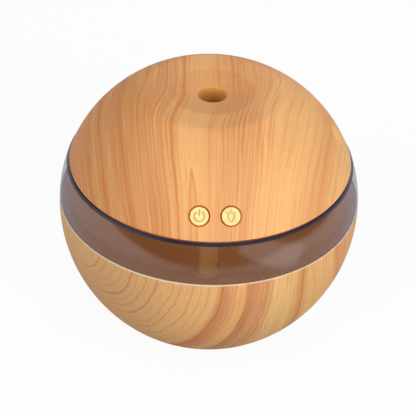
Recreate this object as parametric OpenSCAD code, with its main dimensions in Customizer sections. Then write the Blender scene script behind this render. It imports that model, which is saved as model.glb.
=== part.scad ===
// Ultrasonic oil diffuser: a ball-shaped body of a bowl, a clear tank and a lift-off lid.
// The lid holds the atomiser, its electronics and two push buttons; a wick hangs from it into the tank.
// Millimetres, +Z up, origin on the table under the middle of the foot, buttons towards -Y.

/* [Body] */
// Outside diameter at the equator, the widest part
body_d = 128; // [122:1:136]
// Height of the equator above the table
equator_z = 56.5; // [54:0.5:59]
// Height of the crest round the top dish, the highest part
crest_z = 110.8; // [109.4:0.1:114]
// Diameter of the bowl's flat foot
foot_d = 69.6; // [64:0.2:74]
// Wall thickness of the bowl and of the lid
shell_wall = 2.2; // [1.8:0.1:2.6]
// Thickness of the bowl's floor
bowl_floor = 2.2; // [1.8:0.1:3]
// Height of the ring inside the bowl that carries the tank, above the bowl's floor
support_ring_t = 2; // [1.5:0.1:3]

/* [Feet] */
// Diameter of a rubber foot
pad_d = 10; // [8:0.5:12]
// How far the feet lift the bowl off the table
pad_proud = 0.8; // [0.6:0.1:1.2]
// Depth of the recess that holds a foot
pad_recess = 0.8; // [0.6:0.1:1]
// Diameter of the circle that the feet stand on
pad_circle_d = 50; // [44:1:54]
// Number of feet
pad_count = 4; // [3:1:6]

/* [Tank] */
// Height of the seam between the bowl and the clear band
seam_z = 61.4; // [60:0.2:64]
// Height of the clear band's top edge
band_top_z = 78.2; // [77:0.2:79.6]
// Wall thickness of the clear band
band_wall = 2.4; // [2:0.1:2.8]
// Chamfer round the clear band's top edge
band_chamfer = 0.8; // [0.4:0.1:1]
// Chamfer round the clear band's lower edge, at the seam
seam_chamfer = 0.4; // [0.2:0.1:0.6]
// Wall thickness of the tank inside the bowl
tank_wall = 2; // [1.6:0.1:2.4]
// Air gap between the tank and the bowl
tank_gap = 0.3; // [0.2:0.05:0.5]
// Height of the tank's floor, on its wet side
tank_floor_z = 11; // [10:0.5:12]
// Thickness of the tank's floor
tank_floor = 2; // [1.5:0.1:3]
// Thickness of the shelf where the tank steps out over the bowl's rim
shelf_t = 2; // [1.5:0.1:2.5]

/* [Lid] */
// Step between the clear band's face and the lid's face
lid_step = 0.4; // [0.2:0.1:0.6]
// Diameter of the crest round the top dish
crest_d = 58.2; // [54:0.2:62]
// Diameter where the dish turns down into its funnel
funnel_d = 35.6; // [32:0.2:40]
// Drop from the crest to the funnel's edge
land_drop = 0.4; // [0.2:0.1:0.8]
// Drop from the funnel's edge to the vent
funnel_drop = 1.8; // [1:0.1:2.4]
// Diameter of the mist vent
vent_d = 11.5; // [10:0.1:12.5]
// Length of the mist vent's bore
vent_len = 9.7; // [8:0.1:11]
// Wall thickness of the chimney under the vent
chimney_wall = 1.6; // [1.2:0.1:2.2]

/* [Lid tray] */
// Thickness of the tray's floor
tray_floor = 2; // [1.6:0.1:2.4]
// Thickness of the tray's skirt
skirt_wall = 1.8; // [1.4:0.1:2.2]
// Height of the tray's skirt below its floor
skirt_len = 1.5; // [1:0.5:9]
// Gap between the tray's skirt and the tank's mouth
plug_gap = 1; // [0.9:0.1:1.4]
// Thickness of the gasket between the lid and the tank
gasket_t = 0.9; // [0.6:0.1:1.2]
// Length of the gasket's lip inside the tank's mouth
gasket_lip = 2; // [1.4:0.2:2.4]

/* [Buttons] */
// Diameter of a button's face
button_d = 7.2; // [6:0.1:7.6]
// Gap between a button and its hole
button_gap = 0.35; // [0.3:0.05:0.5]
// Distance between the buttons' centres
button_pitch = 12.1; // [11.8:0.1:14]
// Gap between the switch board and the tray, which sets how high the buttons sit
switch_clear = 0.94; // [0.5:0.01:5]
// How far a button stands out of the lid
button_proud = 0.3; // [0.1:0.05:0.6]
// How far a button travels
button_travel = 0.5; // [0.2:0.05:0.6]

/* [Switches] */
// Side of a switch's square body
switch_side = 6; // [5:0.2:6.2]
// Height of a switch's body
switch_h = 2.5; // [2.3:0.1:3]
// Diameter of a switch's plunger
plunger_d = 3.5; // [3:0.1:4]
// How far a plunger stands out of its switch
plunger_proud = 0.7; // [0.65:0.05:0.9]
// Length of the switch board
switch_board_len = 34; // [32:0.5:38]
// Width of the switch board
switch_board_w = 7; // [6.6:0.1:7.6]
// Thickness of both circuit boards
board_t = 1.6; // [1:0.1:2]

/* [Wick] */
// Outside diameter of the wick's tube
tube_d = 9.5; // [9.2:0.1:10.4]
// Wall thickness of the wick's tube
tube_wall = 1; // [0.8:0.1:1.2]
// Height of the tube's lower end above the table
tube_bottom_z = 15.8; // [15:0.2:18]
// Diameter of the wick
wick_d = 6.9; // [6:0.1:7.1]
// Length of the spring under the wick, as fitted
spring_len = 6.75; // [5:0.05:10]
// How far the wick can be pushed down on its spring
wick_travel = 2; // [1:0.1:3]
// Angle through which the tube turns to come free
tube_turn = 60; // [40:5:65]
// Width of the two water slots in the tube
slot_w = 3.4; // [2.4:0.1:3.8]
// Length of the water slots, from the tube's lower end
slot_len = 19; // [10:1:24]
// Angle of a water slot round the tube
slot_angle = 202; // [180:1:220]
// Length of the cap's arms, which fill the lower end of the slots
cap_arm_len = 5.7; // [4:0.1:7]

/* [Electronics] */
// Outside diameter of the control board
control_board_d = 80; // [76:1:84]
// Diameter of the hole in the control board, wide enough to pass over the holder
control_board_hole = 32; // [26:1:36]
// Height of the control board above the tray's floor
board_lift = 1.6; // [1.2:0.1:2]
// Diameter of the atomiser's disc
disc_d = 16; // [15:0.2:18]
// Thickness of the atomiser's disc
disc_t = 0.6; // [0.4:0.1:1]
// Thickness of the rubber ring that holds the disc
disc_ring_t = 3.2; // [2.6:0.1:4]
// Thickness of the cup that holds the rubber ring
holder_floor = 2; // [1.6:0.1:2.4]
// Number of lights
led_count = 4; // [4:1:6]
// Diameter of the circle that the lights stand on
led_circle_d = 58; // [56:1:62]

/* [Hidden] */
$fn = 96;

eps = 0.01;
big = 2 * body_d;
slip = 0.05; // clearance between pieces that sit together and stay still
run = 0.12; // clearance between pieces that turn or slide

// The outline is two arcs that meet upright at the equator. Each has its centre at equator height,
// rounded to a micron so that both arcs reach the same equator.
function micron(v) = round(v * 1000) / 1000;
equator_r = body_d / 2;
lid_equator_r = equator_r - lid_step;
crest_r = crest_d / 2;
dome_rise = crest_z - equator_z;
dome_centre_r = micron(
    (pow(lid_equator_r, 2) - pow(crest_r, 2) - pow(dome_rise, 2)) / (2 * (lid_equator_r - crest_r)));
dome_arc_r = equator_r - dome_centre_r;
foot_r = foot_d / 2;
bowl_drop = equator_z - pad_proud;
bowl_centre_r = micron(
    (pow(equator_r, 2) - pow(foot_r, 2) - pow(bowl_drop, 2)) / (2 * (equator_r - foot_r)));
bowl_arc_r = equator_r - bowl_centre_r;
// Radius of the body's outline above the equator, taken in by inset
function dome_r(z, inset = 0) = dome_centre_r + sqrt(pow(dome_arc_r - inset, 2) - pow(z - equator_z, 2));

bowl_floor_z = pad_proud + bowl_floor;
tank_inset = shell_wall + tank_gap;
tank_base_z = tank_floor_z - tank_floor;
support_ring_r = foot_r - shell_wall;

lid_rim_z = band_top_z + gasket_t;
tray_top_z = lid_rim_z;
tray_base_z = tray_top_z - tray_floor;
plug_r = dome_r(band_top_z, band_wall) - plug_gap;
gasket_r = dome_r(lid_rim_z, lid_step) - 0.5;
lip_r = plug_r + plug_gap - 0.2;

vent_r = vent_d / 2;
funnel_r = funnel_d / 2;
funnel_z = crest_z - land_drop;
vent_z = funnel_z - funnel_drop;
chimney_r = vent_r + chimney_wall;
chimney_base_z = vent_z - vent_len;
chimney_flange_t = 1.4;

disc_r = disc_d / 2;
disc_ring_r = disc_r + 2;
disc_ring_hole_r = disc_r - 2.5;
disc_ring_z = chimney_base_z - disc_ring_t;
disc_z = disc_ring_z + (disc_ring_t - disc_t) / 2;
holder_z = disc_ring_z - holder_floor;
holder_wall = 1.8;
holder_r = disc_ring_r + slip + holder_wall;
holder_screw_r = holder_r + 1.8;
ear_r = 2.6;
holder_boss_r = 2.2;
holder_screw = 0.9;

cover_boss_r = 3.2;
cover_screw = 1.3;
cover_screw_head = 2.5;
cover_screw_head_h = 1.5;
cover_screw_grip = 8;
cover_circle_r = dome_r(lid_rim_z, lid_step + shell_wall) - cover_boss_r - 3.4;
cover_angles = [45, 135, 225, 315];

board_z = tray_top_z + board_lift;
board_top_z = board_z + board_t;
board_r = control_board_d / 2;
board_screw = 1;
board_screw_circle_r = board_r - 4;
board_post_r = 2.4;
board_angles = [20, 160, 200, 340];

led_r = 1.5;
led_len = 5;
lens_r = 2.6;
lens_wall = 0.7;
lens_flange = 0.8;
led_circle_r = led_circle_d / 2;
led_z = board_z - led_len;
lens_base_z = led_z - lens_wall - 0.3;

chip_side = 7;
chip_h = 1.5;
coil_r = 4;
coil_h = 4.6;
coil_wire = 0.8;
coil_core_r = 2.8;
capacitor_r = 2.5;
capacitor_h = 7;
part_ring_r = control_board_hole / 2 + 9.5; // the larger parts stand on a circle of this radius
wire_socket_w = 8;
wire_socket_d = 5;
wire_socket_h = 4.5;
wire_socket_wall = 1;
socket_row_r = control_board_hole / 2 + 5;
lead_r = 0.55;
lead_pull = 10; // how far a lead runs straight out of its socket
lead_start_z = board_top_z + wire_socket_h - 2.5 + 0.2;

socket_w = 7.5;
socket_h = 2.9;
socket_d = 5.6;
socket_lip = 0.5;
socket_tongue_w = 14;
socket_face_y = dome_r(board_top_z + socket_h / 2, lid_step + shell_wall);
port_w = socket_w + 3;
port_h = socket_h + 2.4;

// The buttons share one axis direction, and sit side by side on the dome.
button_r = button_d / 2;
hole_r = button_r + button_gap;
sleeve_wall = 1.1;
sleeve_end = -(shell_wall + 1.4);
flange_t = 0.7;
flange_r = hole_r + 0.7;
flange_top = sleeve_end - 0.1;
flange_base = flange_top - flange_t;
nub_len = 0.4;
nub_r = 1.2;
plunger_top = flange_base - nub_len - slip;
switch_top = plunger_top - plunger_proud;
switch_base = switch_top - switch_h;
plunger_r = plunger_d / 2;
plunger_len = plunger_proud + switch_h - button_travel - 0.3;
switch_board_base = switch_base - board_t;
// The tilt that leaves switch_clear between the tray and the switch board's lower edge
board_swing = dome_arc_r - lid_step + switch_board_base;
button_tilt = atan2(switch_board_w / 2, board_swing)
    + asin((tray_top_z + switch_clear - equator_z) / norm([board_swing, switch_board_w / 2]));
button_y = -(dome_centre_r + (dome_arc_r - lid_step) * cos(button_tilt));
button_z = equator_z + (dome_arc_r - lid_step) * sin(button_tilt);
post_x = switch_board_len / 2 - 3;
post_r = 2.2;
post_screw = 0.9;
post_screw_grip = 4;

tube_r = tube_d / 2;
tube_bore_r = tube_r - tube_wall;
tube_top_z = tray_base_z - slip;
wick_r = wick_d / 2;
wick_top_z = disc_z - slip;
guide_bore_r = wick_r + 0.3;
guide_wall = 1.4;
guide_top_z = holder_z - 0.5;
collar_r = tube_r + 2.8;
collar_len = 6.4;
collar_z = tray_base_z - collar_len;
lug_out = 0.9;
lug_h = 1.2;
lug_sides = [90, 270];
lug_half = 12; // half the angle that a lug covers
lug_room = 2; // spare angle at each end of its travel
lug_z = collar_z + 2.6;
cap_flange_t = 1;
cap_plug_len = 2.4;
cap_z = tube_bottom_z - cap_flange_t;
spring_base_z = tube_bottom_z + cap_plug_len;
wick_base_z = spring_base_z + spring_len;
spring_wire_r = 0.3;
spring_turns = floor((spring_len - wick_travel) / (2 * spring_wire_r + 0.35));
spring_r = tube_bore_r - spring_wire_r - 0.4;
cap_arm_proud = 0.5;
cap_arm_top_z = tube_bottom_z + cap_arm_len;

// ---- outlines ----

// Everything inside the body's outline, taken in by inset
module body_form(inset = 0) {
    intersection() {
        translate([dome_centre_r, equator_z]) circle(r = dome_arc_r - inset);
        translate([0, equator_z]) square([body_d, body_d]);
    }
    intersection() {
        translate([bowl_centre_r, equator_z]) circle(r = bowl_arc_r - inset);
        translate([0, -body_d + equator_z]) square([body_d, body_d]);
    }
}

module slab(low, high) {
    translate([0, low]) square([body_d, high - low]);
}

// The part of the outline between two heights
module body_band(inset, low, high) {
    intersection() {
        body_form(inset);
        slab(low, high);
    }
}

// The air above the dish in the lid's top, lowered by drop
module dish_form(drop = 0) {
    translate([0, -drop]) polygon([
        [0, vent_z], [vent_r, vent_z], [funnel_r, funnel_z], [crest_r, crest_z],
        [crest_r, crest_z + body_d], [0, crest_z + body_d]
    ]);
}

module lid_form(inset, low) {
    difference() {
        body_band(lid_step + inset, low, crest_z);
        dish_form(inset);
    }
}

module tube_ring(outer, inner, low, high) {
    translate([0, 0, low]) difference() {
        cylinder(r = outer, h = high - low);
        translate([0, 0, -eps]) cylinder(r = inner, h = high - low + 2 * eps);
    }
}

module around(angles, radius) {
    for (a = angles) rotate([0, 0, a]) translate([radius, 0, 0]) children();
}

// Local +Z points out of the dome along the buttons' axis
module on_button_axis(x = 0) {
    translate([0, button_y, button_z]) rotate([90 - button_tilt, 0, 0]) translate([x, 0, 0]) children();
}

module screw(thread_r, thread_len, head_r, head_h) {
    translate([0, 0, -eps]) cylinder(r = thread_r, h = thread_len + eps);
    difference() {
        translate([0, 0, -head_h]) cylinder(r = head_r, h = head_h);
        translate([0, 0, -head_h - eps]) for (a = [0, 90])
            rotate([0, 0, a]) translate([-head_r * 0.6, -head_r * 0.12, 0])
                cube([head_r * 1.2, head_r * 0.24, head_h * 0.5]);
    }
}

// ---- the bowl and the tank ----

module base_shell() {
    color("burlywood") difference() {
        union() {
            rotate_extrude() difference() {
                body_band(0, pad_proud, seam_z);
                body_band(shell_wall, bowl_floor_z, seam_z + 1);
            }
            tube_ring(support_ring_r, support_ring_r - support_ring_t, bowl_floor_z - eps, tank_base_z);
        }
        feet_places() translate([0, 0, -pad_recess]) cylinder(d = pad_d + 2 * slip, h = 2 * pad_recess);
    }
}

module feet_places() {
    angles = [for (i = [0:pad_count - 1]) 45 + i * 360 / pad_count];
    translate([0, 0, pad_proud]) around(angles, pad_circle_d / 2) children();
}

module rubber_feet() {
    color("dimgray") feet_places() translate([0, 0, -pad_proud])
        cylinder(d = pad_d, h = pad_proud + pad_recess);
}

module water_tank() {
    shelf_top_z = seam_z + shelf_t;
    color([0.45, 0.42, 0.5, 0.5]) rotate_extrude() difference() {
        union() {
            body_band(0, seam_z, band_top_z);
            body_band(tank_inset, tank_base_z, seam_z + eps);
        }
        body_band(band_wall, shelf_top_z, band_top_z + 1);
        body_band(tank_inset + tank_wall, tank_floor_z, shelf_top_z + eps);
        band_edge(band_top_z, band_chamfer);
        band_edge(seam_z, seam_chamfer);
    }
}

// What a chamfer takes off the band's outer edge
module band_edge(z, size) {
    translate([dome_r(z), z]) rotate([0, 0, 45]) square(size * sqrt(2), center = true);
}

// ---- the lid ----

module lid_shell() {
    color("burlywood") difference() {
        union() {
            rotate_extrude() difference() {
                lid_form(0, lid_rim_z);
                lid_form(shell_wall, lid_rim_z - 1);
            }
            intersection() {
                rotate_extrude() lid_form(shell_wall / 2, lid_rim_z);
                union() {
                    cover_places() cylinder(r = cover_boss_r, h = body_d);
                    holder_places() cylinder(r = holder_boss_r, h = vent_len);
                    for (x = [-1, 1]) {
                        on_button_axis(x * button_pitch / 2) translate([0, 0, sleeve_end])
                            cylinder(r = hole_r + sleeve_wall, h = -sleeve_end);
                        on_button_axis(x * post_x) translate([0, 0, switch_base])
                            cylinder(r = post_r, h = -switch_base);
                    }
                }
            }
        }
        translate([0, 0, chimney_base_z]) cylinder(r = vent_r, h = body_d);
        cover_places() translate([0, 0, -eps]) cylinder(r = cover_screw + 0.02, h = cover_screw_grip + 1);
        holder_places() translate([0, 0, -eps]) cylinder(r = holder_screw + 0.02, h = vent_len * 0.7);
        for (x = [-1, 1]) {
            on_button_axis(x * button_pitch / 2) translate([0, 0, sleeve_end - eps])
                cylinder(r = hole_r, h = body_d);
            on_button_axis(x * post_x) translate([0, 0, switch_base - eps])
                cylinder(r = post_screw + 0.02, h = post_screw_grip + 0.5);
        }
        power_port();
    }
}

module cover_places() {
    translate([0, 0, tray_top_z]) around(cover_angles, cover_circle_r) children();
}

module holder_places() {
    translate([0, 0, chimney_base_z]) around([0, 120, 240], holder_screw_r) children();
}

module power_port() {
    translate([-port_w / 2, board_r, board_top_z + socket_h / 2 - port_h / 2])
        cube([port_w, body_d, port_h]);
}

// A tube that carries the mist from the disc to the vent, held up under the dish by the rubber ring
module mist_chimney() {
    dish_slope = funnel_drop / (funnel_r - vent_r);
    top_z = vent_z - shell_wall - slip;
    color("navajowhite") {
        rotate_extrude() polygon([
            [vent_r, chimney_base_z], [chimney_r, chimney_base_z],
            [chimney_r, top_z + dish_slope * chimney_wall], [vent_r, top_z]
        ]);
        tube_ring(disc_ring_r, chimney_r - eps, chimney_base_z, chimney_base_z + chimney_flange_t);
    }
}

// A tray that closes the lid from below, plugs the tank's mouth and carries the wick's tube
module lid_tray() {
    color("navajowhite") difference() {
        union() {
            translate([0, 0, tray_base_z]) cylinder(r = plug_r, h = tray_floor);
            tube_ring(plug_r, plug_r - skirt_wall, tray_base_z - skirt_len, tray_base_z + eps);
            translate([0, 0, collar_z]) cylinder(r = collar_r, h = collar_len + eps);
            translate([0, 0, tray_top_z - eps])
                cylinder(r = guide_bore_r + guide_wall, h = guide_top_z - tray_top_z);
            translate([0, 0, tray_top_z - eps]) around(board_angles, board_screw_circle_r)
                cylinder(r = board_post_r, h = board_lift);
        }
        translate([0, 0, collar_z - eps]) cylinder(r = tube_r + run, h = collar_len + eps);
        translate([0, 0, collar_z]) cylinder(r = guide_bore_r, h = guide_top_z);
        lug_track();
        cover_places() translate([0, 0, -tray_floor - eps])
            cylinder(r = cover_screw + 0.2, h = tray_floor + 2 * eps);
        translate([0, 0, board_z + eps]) around(board_angles, board_screw_circle_r) mirror([0, 0, 1])
            cylinder(r = board_screw + 0.02, h = board_lift + tray_floor - 0.6);
        light_places() translate([0, 0, tray_base_z - eps])
            cylinder(r = lens_r + slip, h = tray_floor + 2 * eps);
    }
}

// The tube's lugs turn in this groove, and drop out through its two mouths
module lug_track() {
    depth = lug_out + run;
    mouth_w = 2 * (tube_r + lug_out) * sin(lug_half) + 0.6;
    from = -lug_half - lug_room;
    for (side = lug_sides) rotate([0, 0, side]) {
        translate([0, 0, lug_z - run]) rotate([0, 0, from])
            rotate_extrude(angle = tube_turn + 2 * (lug_half + lug_room))
                translate([tube_r, 0]) square([depth, lug_h + 2 * run]);
        rotate([0, 0, tube_turn]) translate([0, -mouth_w / 2, collar_z - eps])
            cube([tube_r + lug_out + 0.4, mouth_w, lug_z - collar_z + lug_h / 2]);
    }
}

module lid_gasket() {
    color("saddlebrown") {
        tube_ring(gasket_r, plug_r + slip, band_top_z, lid_rim_z - eps);
        tube_ring(lip_r, plug_r + slip, band_top_z - gasket_lip, band_top_z + eps);
    }
}

module cover_screws() {
    color("silver") cover_places() translate([0, 0, -tray_floor])
        screw(cover_screw, tray_floor + cover_screw_grip, cover_screw_head, cover_screw_head_h);
}

// ---- the atomiser ----

module atomizer_disc() {
    color("gold") translate([0, 0, disc_z]) difference() {
        cylinder(r = disc_r, h = disc_t);
        translate([0, 0, disc_t * 0.6]) cylinder(r = disc_ring_hole_r - 2.5, h = disc_t);
    }
}

module atomizer_ring() {
    color("whitesmoke") difference() {
        tube_ring(disc_ring_r, disc_ring_hole_r, disc_ring_z + eps, chimney_base_z - eps);
        translate([0, 0, disc_z - 0.02]) cylinder(r = disc_r + 0.02, h = disc_t + 0.04);
    }
}

module atomizer_holder() {
    color("navajowhite") difference() {
        union() {
            translate([0, 0, holder_z]) cylinder(r = holder_r, h = chimney_base_z - holder_z - 0.1);
            holder_ears();
        }
        translate([0, 0, disc_ring_z]) cylinder(r = disc_ring_r + slip, h = disc_ring_t + 1);
        translate([0, 0, holder_z - eps]) cylinder(r = disc_ring_hole_r, h = holder_floor + 1);
        holder_places() translate([0, 0, -disc_ring_t - holder_floor - 1])
            cylinder(r = holder_screw + 0.15, h = disc_ring_t + holder_floor + 2);
        translate([-holder_r - 1, -2, disc_ring_z + 0.4]) cube([holder_wall + 2, 4, disc_ring_t]);
    }
}

module holder_ears() {
    ear_h = chimney_base_z - holder_z - 0.1;
    translate([0, 0, holder_z]) around([0, 120, 240], holder_screw_r) {
        cylinder(r = ear_r, h = ear_h);
        translate([-holder_screw_r + disc_ring_r + 1, -ear_r, 0])
            cube([holder_screw_r - disc_ring_r - 1, 2 * ear_r, ear_h]);
    }
}

module holder_screws() {
    color("silver") holder_places() translate([0, 0, holder_z - chimney_base_z])
        screw(holder_screw, chimney_base_z - holder_z + vent_len * 0.6, holder_screw * 2, 1.2);
}

// ---- the electronics in the lid ----

module control_board() {
    color("darkgreen") translate([0, 0, board_z]) difference() {
        union() {
            cylinder(r = board_r, h = board_t);
            translate([-socket_tongue_w / 2, 0, 0])
                cube([socket_tongue_w, socket_face_y - 3, board_t]);
        }
        translate([0, 0, -eps]) {
            cylinder(d = control_board_hole, h = board_t + 2 * eps);
            around(board_angles, board_screw_circle_r)
                cylinder(r = board_screw + 0.15, h = board_t + 2 * eps);
        }
    }
}

module board_screws() {
    color("silver") translate([0, 0, board_top_z]) around(board_angles, board_screw_circle_r)
        mirror([0, 0, 1]) screw(board_screw, board_t + board_lift + 1, board_screw * 2, 1.2);
}

module driver_chip() {
    color("black") translate([part_ring_r - chip_side / 2, -chip_side / 2, board_top_z])
        cube([chip_side, chip_side, chip_h]);
}

module boost_coil() {
    translate([0, 0, board_top_z]) around([55], part_ring_r + 1.5) {
        color("dimgray") difference() {
            cylinder(r = coil_r, h = coil_h);
            tube_ring(coil_r + 0.5, coil_core_r, coil_wire, coil_h - coil_wire);
        }
        color("peru")
            tube_ring(coil_r - 0.4, coil_core_r + slip, coil_wire + 0.1, coil_h - coil_wire - 0.1);
    }
}

module capacitors() {
    color("slategray") translate([0, 0, board_top_z]) around([120, 148], part_ring_r + 2)
        cylinder(r = capacitor_r, h = capacitor_h);
}

module wire_sockets() {
    color("ivory") translate([0, 0, board_top_z]) for (a = [180, 270])
        rotate([0, 0, a]) translate([socket_row_r, -wire_socket_w / 2, 0]) difference() {
            cube([wire_socket_d, wire_socket_w, wire_socket_h]);
            translate([wire_socket_wall, wire_socket_wall, wire_socket_h - 2.5]) cube([
                wire_socket_d - 2 * wire_socket_wall, wire_socket_w - 2 * wire_socket_wall, wire_socket_h
            ]);
        }
}

module light_places() {
    around([for (i = [0:led_count - 1]) i * 360 / led_count], led_circle_r) children();
}

module lights() {
    color("white") light_places() translate([0, 0, led_z + led_r]) {
        cylinder(r = led_r, h = led_len - led_r);
        sphere(r = led_r);
    }
}

module light_lenses() {
    color([0.9, 0.9, 0.95, 0.6]) light_places() difference() {
        union() {
            translate([0, 0, lens_base_z]) cylinder(r = lens_r, h = tray_top_z - lens_base_z + eps);
            translate([0, 0, tray_top_z + eps]) cylinder(r = lens_r + lens_flange, h = 0.6);
        }
        translate([0, 0, lens_base_z + lens_wall]) cylinder(r = lens_r - lens_wall, h = body_d);
    }
}

module power_socket() {
    color("silver") translate([-socket_w / 2, socket_face_y - socket_d, board_top_z]) difference() {
        cube([socket_w, socket_d, socket_h]);
        translate([socket_lip, 1, socket_lip])
            cube([socket_w - 2 * socket_lip, socket_d, socket_h - 2 * socket_lip]);
    }
    color("black") translate([0, socket_face_y - socket_d, board_top_z + socket_h / 2])
        translate([-socket_w / 2 + 2, 1 - eps, -0.3]) cube([socket_w - 4, socket_d - 2, 0.6]);
}

// ---- the buttons and their switches ----

module switch_board() {
    color("darkgreen") on_button_axis() difference() {
        translate([-switch_board_len / 2, -switch_board_w / 2, switch_board_base])
            cube([switch_board_len, switch_board_w, board_t]);
        for (x = [-1, 1]) translate([x * post_x, 0, switch_board_base - eps])
            cylinder(r = post_screw + 0.15, h = board_t + 2 * eps);
    }
}

module switch_board_screws() {
    color("silver") for (x = [-1, 1]) on_button_axis(x * post_x) translate([0, 0, switch_board_base])
        screw(post_screw, board_t + post_screw_grip, post_screw * 2, 1.2);
}

module switch_bodies() {
    color("black") for (x = [-1, 1]) on_button_axis(x * button_pitch / 2) difference() {
        translate([-switch_side / 2, -switch_side / 2, switch_base])
            cube([switch_side, switch_side, switch_h]);
        translate([0, 0, plunger_top - plunger_len - button_travel - 0.1])
            cylinder(r = plunger_r + 0.08, h = body_d);
    }
}

module button(side) {
    color("khaki") on_button_axis(side * button_pitch / 2) {
        translate([0, 0, flange_base]) cylinder(r = button_r, h = button_proud - flange_base);
        translate([0, 0, flange_base]) cylinder(r = flange_r, h = flange_t);
        translate([0, 0, flange_base - nub_len]) cylinder(r = nub_r, h = nub_len + eps);
    }
}

module power_button() {
    button(-1);
}

module light_button() {
    button(1);
}

module plunger(side) {
    color("dimgray") on_button_axis(side * button_pitch / 2) translate([0, 0, plunger_top - plunger_len])
        cylinder(r = plunger_r, h = plunger_len);
}

module power_plunger() {
    plunger(-1);
}

module light_plunger() {
    plunger(1);
}

// ---- wires ----

function unit(v) = v / norm(v);

// A round wire swept along points, with its rings square to the run
module wire(points, radius, sides = 8) {
    last = len(points) - 1;
    rings = [for (i = [0:last])
        let (
            along = unit(points[min(i + 1, last)] - points[max(i - 1, 0)]),
            across = unit(cross(along, abs(along[1]) < 0.8 ? [0, 1, 0] : [1, 0, 0])),
            up = cross(across, along)
        )
        for (k = [0:sides - 1])
            points[i] + radius * (cos(k * 360 / sides) * across + sin(k * 360 / sides) * up)];
    sidewalls = [for (i = [0:last - 1], k = [0:sides - 1])
        let (a = i * sides + k, b = i * sides + (k + 1) % sides)
        for (face = [[a, b, b + sides], [a, b + sides, a + sides]]) face];
    ends = [[for (k = [sides - 1:-1:0]) k], [for (k = [0:sides - 1]) last * sides + k]];
    polyhedron(points = rings, faces = concat(sidewalls, ends));
}

// Points on a cubic curve between two ends with two pull points
function curve(a, b, c, d, steps = 12) = [for (i = [0:steps])
    let (t = i / steps, s = 1 - t)
    s * s * s * a + 3 * s * s * t * b + 3 * s * t * t * c + t * t * t * d];

module atomizer_leads() {
    start_x = -socket_row_r - wire_socket_d / 2;
    end_z = chimney_base_z - disc_ring_t / 2;
    color("firebrick") for (y = [-1.5, 1.5] * lead_r)
        wire(curve(
            [start_x, y, lead_start_z], [start_x, y, lead_start_z + lead_pull],
            [-holder_r - lead_pull, y, end_z], [-disc_ring_r - 0.1, y, end_z]), lead_r);
}

module button_leads() {
    // Each lead ends on the upper half of the switch board's back
    up = switch_board_w / 2 - lead_r - 1;
    back = 0.2 - switch_board_base;
    end_y = button_y + back * cos(button_tilt) + up * sin(button_tilt);
    end_z = button_z - back * sin(button_tilt) + up * cos(button_tilt);
    start_y = -socket_row_r - wire_socket_d / 2;
    pull_y = lead_pull / 2 * cos(button_tilt);
    pull_z = -lead_pull / 2 * sin(button_tilt);
    color("dimgray") for (x = [-3.6, 0, 3.6] * lead_r)
        wire(curve(
            [x, start_y, lead_start_z], [x, start_y, lead_start_z + lead_pull],
            [x, end_y + pull_y, end_z + pull_z], [x, end_y, end_z]), lead_r);
}

// ---- the wick and its tube ----

module wick_tube() {
    color("navajowhite") difference() {
        union() {
            translate([0, 0, tube_bottom_z]) cylinder(r = tube_r, h = tube_top_z - tube_bottom_z);
            for (side = lug_sides) translate([0, 0, lug_z]) rotate([0, 0, side - lug_half])
                rotate_extrude(angle = 2 * lug_half)
                    translate([tube_bore_r + tube_wall / 2, 0]) square([lug_out + tube_wall / 2, lug_h]);
        }
        translate([0, 0, tube_bottom_z - eps]) cylinder(r = tube_bore_r, h = body_d);
        slot_places() translate([0, -slot_w / 2, tube_bottom_z - eps]) cube([tube_r + 1, slot_w, slot_len]);
    }
}

module slot_places() {
    for (side = [0, 180]) rotate([0, 0, slot_angle + side]) children();
}

// A cap that plugs the tube's lower end, with an arm up each slot
module tube_cap() {
    color("dimgray") {
        translate([0, 0, cap_z]) cylinder(r = tube_r + 0.6, h = cap_flange_t - eps);
        translate([0, 0, cap_z]) cylinder(r = tube_bore_r - slip, h = cap_flange_t + cap_plug_len - eps);
        slot_places() difference() {
            translate([0, -slot_w / 2 + slip, cap_z])
                cube([tube_r + cap_arm_proud, slot_w - 2 * slip, cap_arm_top_z - cap_z]);
            translate([0, 0, tube_bottom_z + cap_plug_len - eps])
                cylinder(r = tube_bore_r - slip, h = cap_arm_len);
        }
    }
}

// A coil spring between the cap and the wick
module wick_spring() {
    height = wick_base_z - spring_base_z - 2 * spring_wire_r - 2 * slip;
    steps = 14 * spring_turns;
    first_z = spring_base_z + slip + spring_wire_r * 1.1;
    color("silver") wire([for (i = [0:steps])
        let (t = i / steps, a = 360 * spring_turns * t)
        [spring_r * cos(a), spring_r * sin(a), first_z + height * t * 0.98]],
        spring_wire_r, 6);
}

module wick() {
    color("white") translate([0, 0, wick_base_z]) cylinder(r = wick_r, h = wick_top_z - wick_base_z);
}

base_shell();
water_tank();
rubber_feet();
lid_shell();
mist_chimney();
lid_tray();
lid_gasket();
cover_screws();
atomizer_disc();
atomizer_ring();
atomizer_holder();
holder_screws();
atomizer_leads();
control_board();
board_screws();
driver_chip();
boost_coil();
capacitors();
wire_sockets();
lights();
light_lenses();
power_socket();
switch_board();
switch_board_screws();
switch_bodies();
button_leads();
power_button();
light_button();
power_plunger();
light_plunger();
wick_tube();
tube_cap();
wick_spring();
wick();
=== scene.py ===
from math import asin, atan2, cos, hypot, pi, radians, sin, sqrt, tau

import bmesh
import bpy
from mathutils import Matrix, Vector


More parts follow.
